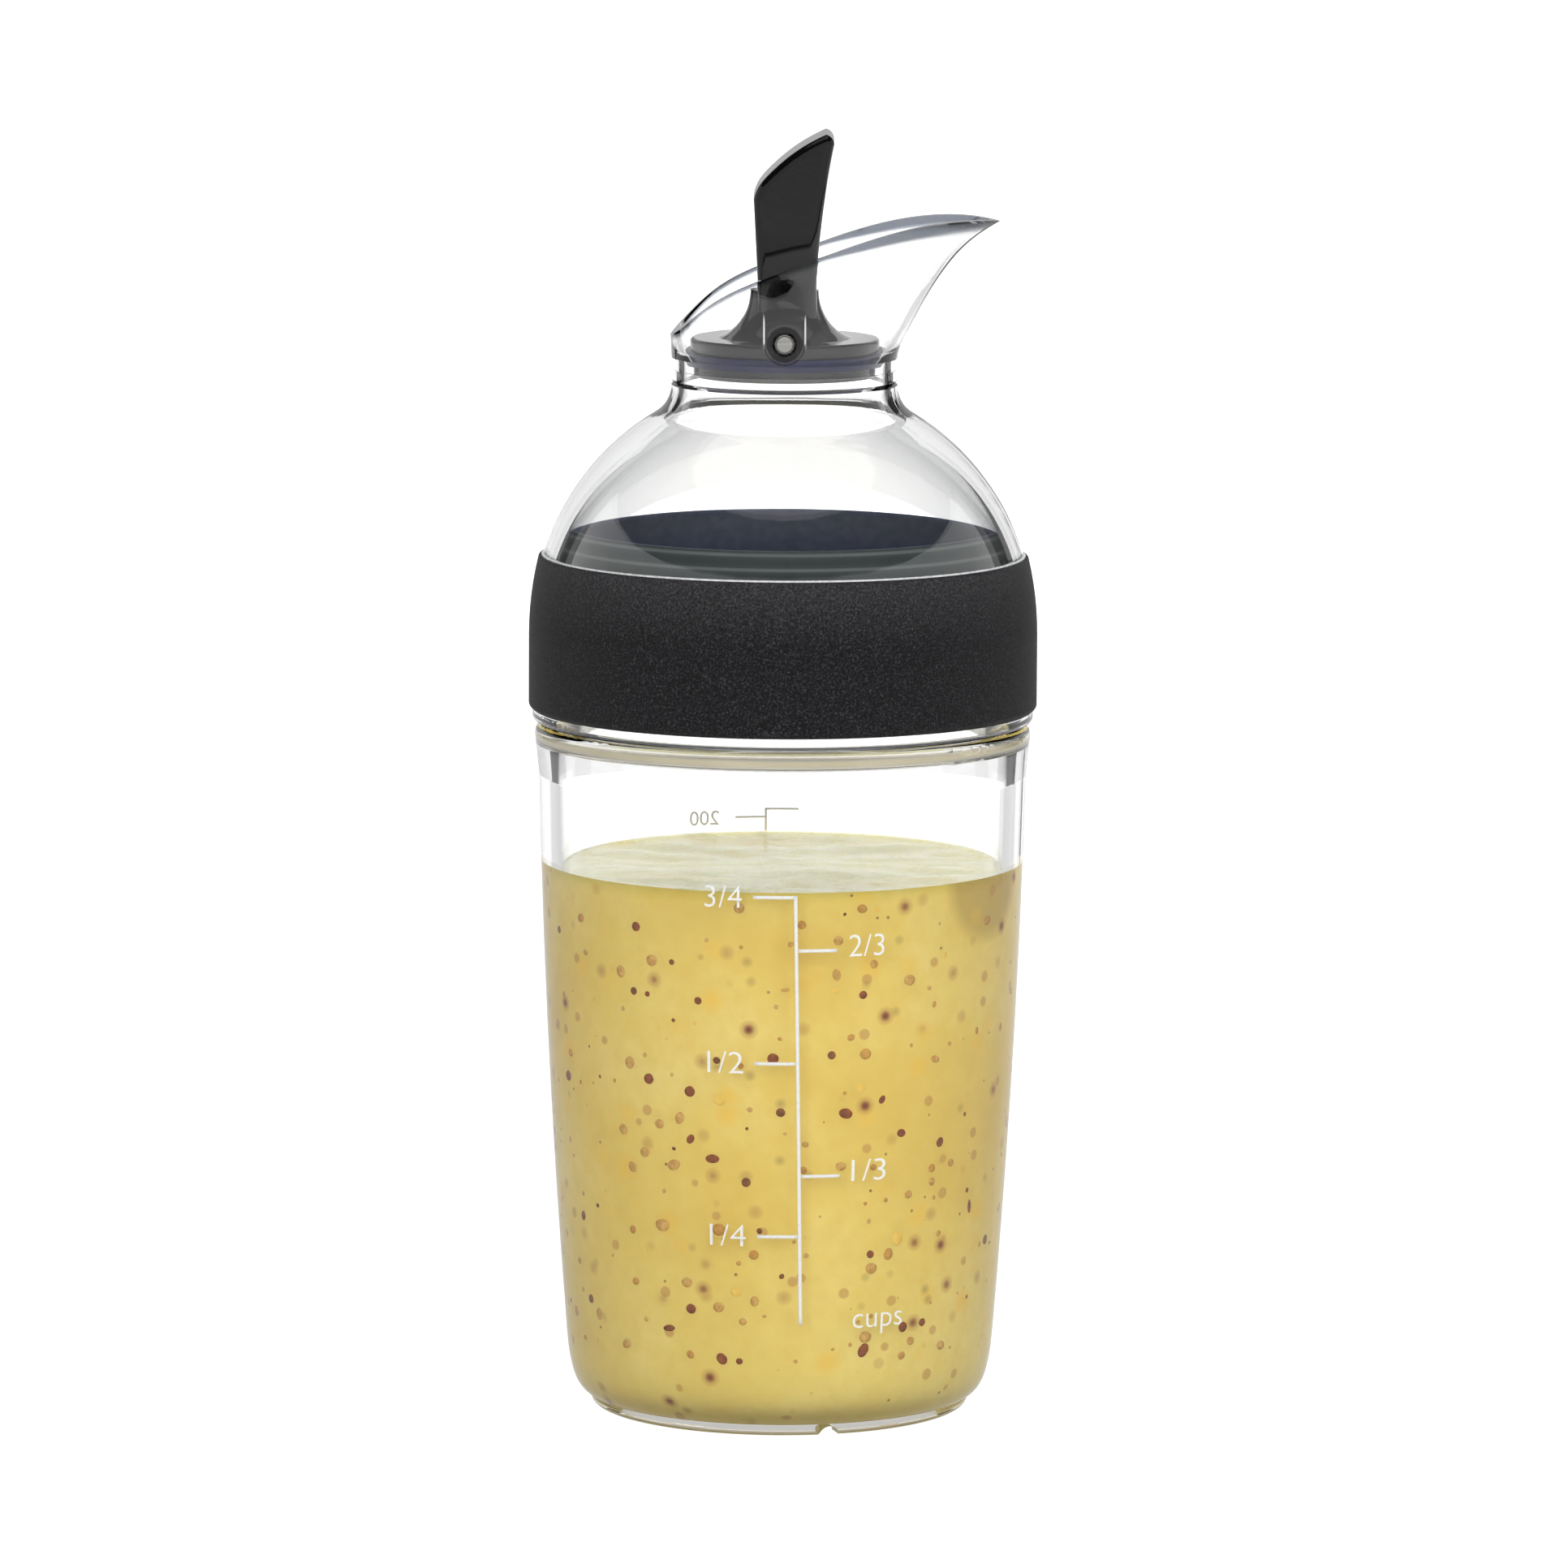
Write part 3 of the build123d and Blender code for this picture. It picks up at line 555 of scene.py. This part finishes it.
# Seeds and flakes against the wall: degrees round from the front, where it is in height, its width and height, kind
placed = (
    (-39, 69.0, 1.4, 1.4, "brown"), (-19, 68.0, 1.4, 1.4, "soft"), (5, 70.3, 1.3, 1.3, "gold"),
    (43, 69.4, 1.0, 1.0, "soft"), (21, 60.6, 1.2, 1.2, "brown"), (1, 61.5, 1.2, 0.5, "flake"),
    (34, 62.2, 1.8, 1.6, "flake"), (18, 54.9, 1.2, 1.0, "gold"), (22, 52.6, 1.7, 1.7, "gold"),
    (13, 52.6, 1.3, 1.3, "dark"), (-2, 52.2, 1.6, 1.6, "brown"), (-42, 50.4, 1.6, 1.8, "flake"),
    (-36, 48.5, 1.6, 1.6, "brown"), (-29, 49.4, 1.2, 1.2, "soft"), (-24, 47.3, 1.6, 1.6, "brown"),
    (-16, 46.6, 2.3, 2.1, "orange"), (-8, 45.3, 1.6, 1.6, "soft"), (0, 44.9, 1.4, 1.4, "dark"),
    (17, 44.6, 2.0, 1.5, "brown"), (21, 48.2, 1.9, 1.9, "orange"), (27, 46.2, 0.9, 1.3, "brown"),
    (43, 51.0, 1.6, 1.0, "flake"), (59, 53.9, 0.8, 1.2, "gold"), (-33, 42.5, 1.4, 1.4, "flake"),
    (-27, 43.6, 1.3, 1.8, "flake"), (33, 41.4, 1.4, 1.2, "brown"), (-38, 38.4, 1.5, 1.5, "flake"),
    (-24, 40.8, 1.1, 1.5, "brown"), (-18, 38.3, 2.0, 1.3, "brown"), (-9, 35.3, 1.4, 1.5, "dark"),
    (-29, 37.1, 2.0, 1.5, "flake"), (-33, 28.7, 2.2, 1.9, "flake"), (-43, 27.5, 1.2, 1.3, "gold"),
    (6, 37.0, 1.1, 1.2, "gold"), (16, 37.4, 1.5, 1.3, "flake"), (46, 39.5, 1.3, 1.5, "brown"),
    (60, 29.8, 0.8, 2.1, "brown"), (33, 27.3, 1.9, 2.8, "orange"), (-7, 25.4, 1.5, 1.5, "gold"),
    (7, 25.4, 1.5, 1.5, "soft"), (25, 25.1, 1.1, 1.2, "brown"), (-26, 21.1, 1.6, 1.5, "flake"),
    (-12, 20.5, 1.9, 2.1, "orange"), (-25, 17.5, 1.5, 1.5, "brown"), (-32, 14.5, 1.9, 1.0, "brown"),
    (24, 12.0, 1.5, 2.3, "brown"), (43, 14.9, 1.2, 1.2, "brown"), (62, 17.1, 0.6, 0.7, "dark"),
)
scattered = []
kinds = ("brown", "dark", "gold", "gold", "soft", "flake", "flake", "flake", "orange")
while len(scattered) < SCATTERED_COUNT:
    degrees = random.uniform(-180, 180)
    z = 10.5 + 62 * random.random() ** 1.35
    others = list(placed) + scattered
    if any(abs(degrees - other[0]) < APART_DEGREES and abs(z - other[1]) < APART_Z for other in others):
        continue
    size = random.choice((0.5, 0.6, 0.8, 1.0, 1.2, 1.4, 1.6))
    wide, tall = size * random.uniform(0.8, 1.25), size * random.uniform(0.8, 1.25)
    scattered.append((degrees, z, wide, tall, random.choice(kinds)))

skins = {
    "brown": small_skin("seed_brown_skin", tint(116, 56, 30), tint(158, 90, 46), 0.4),
    "dark": small_skin("seed_dark_skin", tint(104, 60, 28), tint(146, 96, 48), 0.4),
    "gold": small_skin("seed_gold_skin", tint(184, 132, 58), tint(214, 166, 82), 0.35),
    "soft": small_skin("seed_sunk_skin", tint(196, 152, 86), tint(218, 180, 108), 0.45),
    "flake": small_skin("flake_tan_skin", tint(190, 140, 70), tint(222, 184, 106), 0.4),
    "orange": small_skin("fleck_orange_skin", tint(236, 196, 84), tint(244, 212, 110), 0.5),
}
# How far each kind stands out of the dressing, in millimetres
proud = {"brown": 0.16, "dark": 0.13, "gold": 0.14, "soft": 0.03, "flake": 0.1, "orange": 0.04}
for kind, skin in skins.items():
    bm = bmesh.new()
    beads = [bead for bead in list(placed) + scattered if bead[4] == kind]
    for degrees, z, wide, tall, _ in beads:
        bead = bmesh.ops.create_uvsphere(bm, u_segments=10, v_segments=6, radius=0.5)["verts"]
        deep = 0.5 if kind not in ("flake", "orange") else 0.3
        bmesh.ops.scale(bm, verts=bead, vec=(wide * MM, deep * MM, tall * MM))
        for angle, axis in ((random.uniform(-0.6, 0.6), "Y"), (math.radians(degrees), "Z")):
            bmesh.ops.rotate(bm, verts=bead, cent=(0, 0, 0), matrix=Matrix.Rotation(angle, 3, axis))
        radius = wall_inside(z) + WALL_OVERLAP + proud[kind] - deep / 2
        bmesh.ops.translate(bm, verts=bead, vec=round_the_cup(degrees, z, radius))
    piece(bm, f"{kind}_seeds", (skin,), "cup")


def wrap(sheet, mark, degrees, low):
    """Lay a flat mark round the cup's wall and add it to a sheet."""
    for vert in mark.verts:
        z = low + vert.co.y
        radius = wall_outside(z)
        vert.co = round_the_cup(degrees + math.degrees(vert.co.x / radius), z, radius + vert.co.z)
    single = bpy.data.meshes.new("mark")
    mark.to_mesh(single)
    mark.free()
    sheet.from_mesh(single)
    bpy.data.meshes.remove(single)


def lettering(sheet, words, degrees, low, wide, tall):
    """Printed words with their foot at a height."""
    curve = bpy.data.curves.new("words", "FONT")
    curve.body = words
    curve.extrude = 0.01
    curve.offset = -0.009 if tall > 2.5 else 0.0
    curve.resolution_u = 5
    writing = bpy.data.objects.new("words", curve)
    scene.collection.objects.link(writing)
    mark = bmesh.new()
    mark.from_mesh(bpy.data.meshes.new_from_object(writing.evaluated_get(bpy.context.evaluated_depsgraph_get())))
    bpy.data.objects.remove(writing)
    left, right = min(vert.co.x for vert in mark.verts), max(vert.co.x for vert in mark.verts)
    foot, head = min(vert.co.y for vert in mark.verts), max(vert.co.y for vert in mark.verts)
    bmesh.ops.translate(mark, verts=mark.verts, vec=(-(left + right) / 2, -foot, 0))
    bmesh.ops.scale(mark, verts=mark.verts, vec=(wide / (right - left), tall / (head - foot), PRINT_THICKNESS / 0.02))
    bmesh.ops.translate(mark, verts=mark.verts, vec=(0, 0, PRINT_THICKNESS / 2))
    wrap(sheet, mark, degrees, low)


def stroke(sheet, degrees, low, wide, tall, columns, rows, lean=0.0):
    """A printed line with its lower edge at a height, cut so that it can follow the wall."""
    mark = bmesh.new()
    bmesh.ops.create_cube(mark, size=1)
    flat = [edge for edge in mark.edges if abs(edge.verts[0].co.x - edge.verts[1].co.x) > 0.5]
    upright = [edge for edge in mark.edges if abs(edge.verts[0].co.y - edge.verts[1].co.y) > 0.5]
    if columns:
        bmesh.ops.subdivide_edges(mark, edges=flat, cuts=columns, use_grid_fill=True)
    if rows:
        bmesh.ops.subdivide_edges(mark, edges=upright, cuts=rows, use_grid_fill=True)
    bmesh.ops.translate(mark, verts=mark.verts, vec=(0, 0.5, 0.5))
    bmesh.ops.scale(mark, verts=mark.verts, vec=(wide, tall, PRINT_THICKNESS))
    for vert in mark.verts:
        vert.co.x += lean * vert.co.y
    wrap(sheet, mark, degrees, low)


# The scale in cups on the front: its words, its lines, and the long stroke that leans a little
bm = bmesh.new()
for degrees, low, words, wide in (
    (-13.8, 72.72, "3/4", 5.1), (20.5, 66.1, "2/3", 5.0), (-13.5, 50.3, "1/2", 4.9), (22.4, 35.5, "1/3", 4.9),
    (-13.3, 26.7, "1/4", 4.9),
):
    lettering(bm, words, degrees, low, wide, FRONT_LABEL_HEIGHT)
lettering(bm, "cups", 26.5, 14.3, 7.4, 2.9)
for degrees, z, wide in ((-1.7, 74.2, 5.7), (8.6, 67.0, 5.2), (-1.4, 51.7, 5.5), (10.0, 36.35, 5.2), (-0.7, 28.1, 5.4)):
    stroke(bm, degrees, z - FRONT_LINE_DROP, wide, FRONT_LINE_HEIGHT, LINE_CUTS, 0)
stroke(bm, 5.4, 16.0, 0.48, 58.4, 0, 57, -0.0213)
piece(bm, "cup_measure_print", (WHITE_INK,), "cup")

# The scale in millilitres on the back
bm = bmesh.new()
stroke(bm, 184.2, 16.0, 0.3, 61.5, 0, 59)
for z, words in ((76.3, "200"), (61.0, "150"), (42.5, "100"), (23.5, "50")):
    stroke(bm, 188.1, z - BACK_LINE_DROP, 4.6, BACK_LINE_HEIGHT, LINE_CUTS, 0)
    lettering(bm, words, 200.5, z - BACK_LABEL_HEIGHT / 2, BACK_DIGIT_WIDTH * len(words), BACK_LABEL_HEIGHT)
stroke(bm, 180.1, 77.3, 4.9, BACK_LINE_HEIGHT, LINE_CUTS, 0)
piece(bm, "back_measure_print", (GREY_INK,), "cup")


# A near-white bead on the moulded step where the dome goes into the band: a painted highlight for the bright line of
# light there
bm = bmesh.new()
bmesh.ops.create_circle(bm, segments=10, radius=STEP_HIGHLIGHT_HALF_THICKNESS * MM)
bmesh.ops.rotate(bm, verts=bm.verts, cent=(0, 0, 0), matrix=Matrix.Rotation(math.pi / 2, 3, "X"))
bmesh.ops.translate(bm, verts=bm.verts, vec=(STEP_HIGHLIGHT_RADIUS * MM, 0, STEP_HIGHLIGHT_Z * MM))
section = bm.verts[:] + bm.edges[:]
bmesh.ops.spin(bm, geom=section, cent=(0, 0, 0), axis=(0, 0, 1), angle=math.tau, steps=180, use_merge=True)
bmesh.ops.remove_doubles(bm, verts=bm.verts, dist=1e-7)
bmesh.ops.recalc_face_normals(bm, faces=bm.faces)
# painted highlight: the bead's near-white colour stands for light, not for a bright plastic
STEP_HIGHLIGHT_SKIN = small_skin("step_painted_highlight", tint(206, 208, 210), tint(238, 239, 240), 0.2)
piece(bm, "dome_step_highlight", (STEP_HIGHLIGHT_SKIN,), "lid")


# The room: white for the camera and through plastic, dimmer in reflections, and dimmest as light on the pieces
world = bpy.data.worlds.new("studio_room")
world.use_nodes = True
tree = world.node_tree
path = tree.nodes.new("ShaderNodeLightPath")
backdrop = either(tree, path.outputs["Is Camera Ray"], path.outputs["Is Transmission Ray"])
level = either(tree, backdrop, span(tree, path.outputs["Is Glossy Ray"], 0, 1, 0.38, 0.6))
tree.links.new(level, tree.nodes["Background"].inputs["Strength"])
tree.nodes["Background"].inputs["Color"].default_value = (1, 1, 1, 1)
scene.world = world

# The floor: lit white for the camera, and seen through plastic darker under the bottle and in two sectors behind it, a
# painted shade that only rays through plastic meet
floor_finish = bpy.data.materials.new("studio_floor")
floor_finish.use_nodes = True
tree = floor_finish.node_tree
shader = tree.nodes["Principled BSDF"]
shader.inputs["Base Color"].default_value = (0.8, 0.8, 0.8, 1)
shader.inputs["Roughness"].default_value = 0.9
shader.inputs["Specular IOR Level"].default_value = 0.0
path = tree.nodes.new("ShaderNodeLightPath")
reach = vector_maths(tree, "LENGTH", object_place(tree))["Value"]
# painted shade: darker close under the bottle for rays through plastic
under = span(tree, reach, 0.05, 0.45, 0.5, 1.0)
at = part_place(tree)
compass = maths(tree, "ARCTAN2", at["X"], at["Y"])
for middle, half, dark in DARK_SECTORS:
    off = maths(tree, "ABSOLUTE", maths(tree, "SUBTRACT", compass, middle))
    under = times(tree, under, span(tree, off, half - SECTOR_SOFTNESS, half + SECTOR_SOFTNESS, dark, 1.0))
glow = tree.nodes.new("ShaderNodeEmission")
through = times(tree, path.outputs["Is Transmission Ray"], under)
seen = either(tree, times(tree, path.outputs["Is Camera Ray"], 0.97), through)
tree.links.new(either(tree, seen, times(tree, path.outputs["Is Glossy Ray"], 0.45)), glow.inputs["Strength"])
shade = tree.nodes.new("ShaderNodeBsdfDiffuse")
shade.inputs["Color"].default_value = (0.2, 0.2, 0.2, 1)
add = tree.nodes.new("ShaderNodeAddShader")
tree.links.new(glow.outputs[0], add.inputs[0])
tree.links.new(shade.outputs[0], add.inputs[1])
choose = tree.nodes.new("ShaderNodeMixShader")
backdrop = either(tree, path.outputs["Is Camera Ray"], path.outputs["Is Transmission Ray"])
tree.links.new(either(tree, backdrop, path.outputs["Is Glossy Ray"]), choose.inputs[0])
tree.links.new(shader.outputs[0], choose.inputs[1])
tree.links.new(add.outputs[0], choose.inputs[2])
tree.links.new(choose.outputs[0], tree.nodes["Material Output"].inputs["Surface"])
bm = bmesh.new()
bmesh.ops.create_circle(bm, cap_ends=True, segments=96, radius=FLOOR_RADIUS)
bmesh.ops.translate(bm, verts=bm.verts, vec=(0, 0, -FLOOR_DROP))
mesh = bpy.data.meshes.new("studio_floor")
bm.to_mesh(mesh)
bm.free()
mesh.materials.append(floor_finish)
floor = bpy.data.objects.new("studio_floor", mesh)
scene.collection.objects.link(floor)


def dark_card(name, middle, half, low, high):
    """A dark card round the bottle that only reflection and refraction show."""
    bm = bmesh.new()
    turn = math.radians(middle - half)
    corners = [bm.verts.new((reach * math.sin(turn), reach * math.cos(turn), z)) for reach, z in (low, high)]
    edge = bm.edges.new(corners)
    bmesh.ops.spin(bm, geom=corners + [edge], cent=(0, 0, 0), axis=(0, 0, 1), angle=-math.radians(2 * half), steps=16)
    mesh = bpy.data.meshes.new(name)
    bm.to_mesh(mesh)
    bm.free()
    mesh.materials.append(CARD)
    card = bpy.data.objects.new(name, mesh)
    scene.collection.objects.link(card)
    card.visible_camera = False
    card.visible_diffuse = False
    card.visible_shadow = False


# Dark cards beside and above, which give the plastic's edges their streaks
CARD, _, shader = new_finish("dark_card")
shader.inputs["Base Color"].default_value = (0.03, 0.03, 0.03, 1)
shader.inputs["Specular IOR Level"].default_value = 0.0
for place, middle, half in (("right", 41, 11), ("left", 318, 9)):
    dark_card(f"{place}_card", middle, half, (CARD_REACH, 0.0), (CARD_REACH, CARD_HEIGHT))
dark_card("overhead_card", 0, 180, (OVERHEAD_OUTER, OVERHEAD_Z), (OVERHEAD_INNER, OVERHEAD_Z))


def lamp(name, place, power, wide):
    """A square lamp that no reflection and no plastic shows."""
    light = bpy.data.lights.new(name, "AREA")
    light.energy = power
    light.size = wide
    made = bpy.data.objects.new(name, light)
    scene.collection.objects.link(made)
    made.location = place
    made.rotation_euler = (LAMP_AIM - Vector(place)).to_track_quat("-Z", "Y").to_euler()
    made.visible_glossy = False
    made.visible_transmission = False


lamp("key_lamp", (-0.35, -1.9, 0.85), 18.5, 1.1)
lamp("fill_lamp", (1.2, -1.6, 0.9), 12, 1.1)
lamp("back_lamp", (0.2, 1.8, 0.64), 62, 1.0)

lens = bpy.data.cameras.new("photo_camera")
lens.sensor_width = SENSOR_MM
lens.lens = LENS_MM
camera = bpy.data.objects.new("photo_camera", lens)
scene.collection.objects.link(camera)
camera.matrix_world = (
    Matrix.Translation(CAMERA_PLACE)
    @ Matrix.Rotation(CAMERA_PAN, 4, "Z")
    @ Matrix.Rotation(CAMERA_TILT, 4, "X")
    @ Matrix.Rotation(CAMERA_ROLL, 4, "Z")
)
scene.camera = camera
